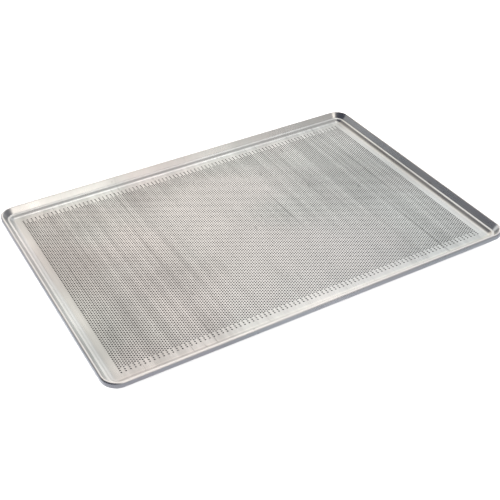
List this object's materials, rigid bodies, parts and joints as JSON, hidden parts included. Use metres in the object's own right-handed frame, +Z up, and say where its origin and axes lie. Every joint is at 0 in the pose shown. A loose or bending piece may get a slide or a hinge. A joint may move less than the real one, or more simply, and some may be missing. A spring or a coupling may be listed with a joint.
{
  "type": "baguette tray",
  "caption": "Shallow rectangular perforated aluminium baking tray with rounded corners, a stepped edge round its flat floor, sloped walls and a turned-down rim.",
  "frame": {"origin": "centre of the tray in plan, on the underside of its floor", "axes": "+X along the tray's length, +Y across it towards the rear, +Z up out of its open top"},
  "size_m": [0.6, 0.4, 0.0135],
  "materials": {
    "aluminium_sheet": "bright rolled aluminium, satin"
  },
  "bodies": {
    "root": {"perforated_floor": "aluminium_sheet", "front_lip": "aluminium_sheet", "front_wall": "aluminium_sheet", "front_step": "aluminium_sheet", "front_right_corner_lip": "aluminium_sheet", "front_right_corner_wall": "aluminium_sheet", "front_right_corner_step": "aluminium_sheet", "right_lip": "aluminium_sheet", "right_wall": "aluminium_sheet", "right_step": "aluminium_sheet", "rear_right_corner_lip": "aluminium_sheet", "rear_right_corner_wall": "aluminium_sheet", "rear_right_corner_step": "aluminium_sheet", "rear_lip": "aluminium_sheet", "rear_wall": "aluminium_sheet", "rear_step": "aluminium_sheet", "rear_left_corner_lip": "aluminium_sheet", "rear_left_corner_wall": "aluminium_sheet", "rear_left_corner_step": "aluminium_sheet", "left_lip": "aluminium_sheet", "left_wall": "aluminium_sheet", "left_step": "aluminium_sheet", "front_left_corner_lip": "aluminium_sheet", "front_left_corner_wall": "aluminium_sheet", "front_left_corner_step": "aluminium_sheet"}
  },
  "joints": []
}
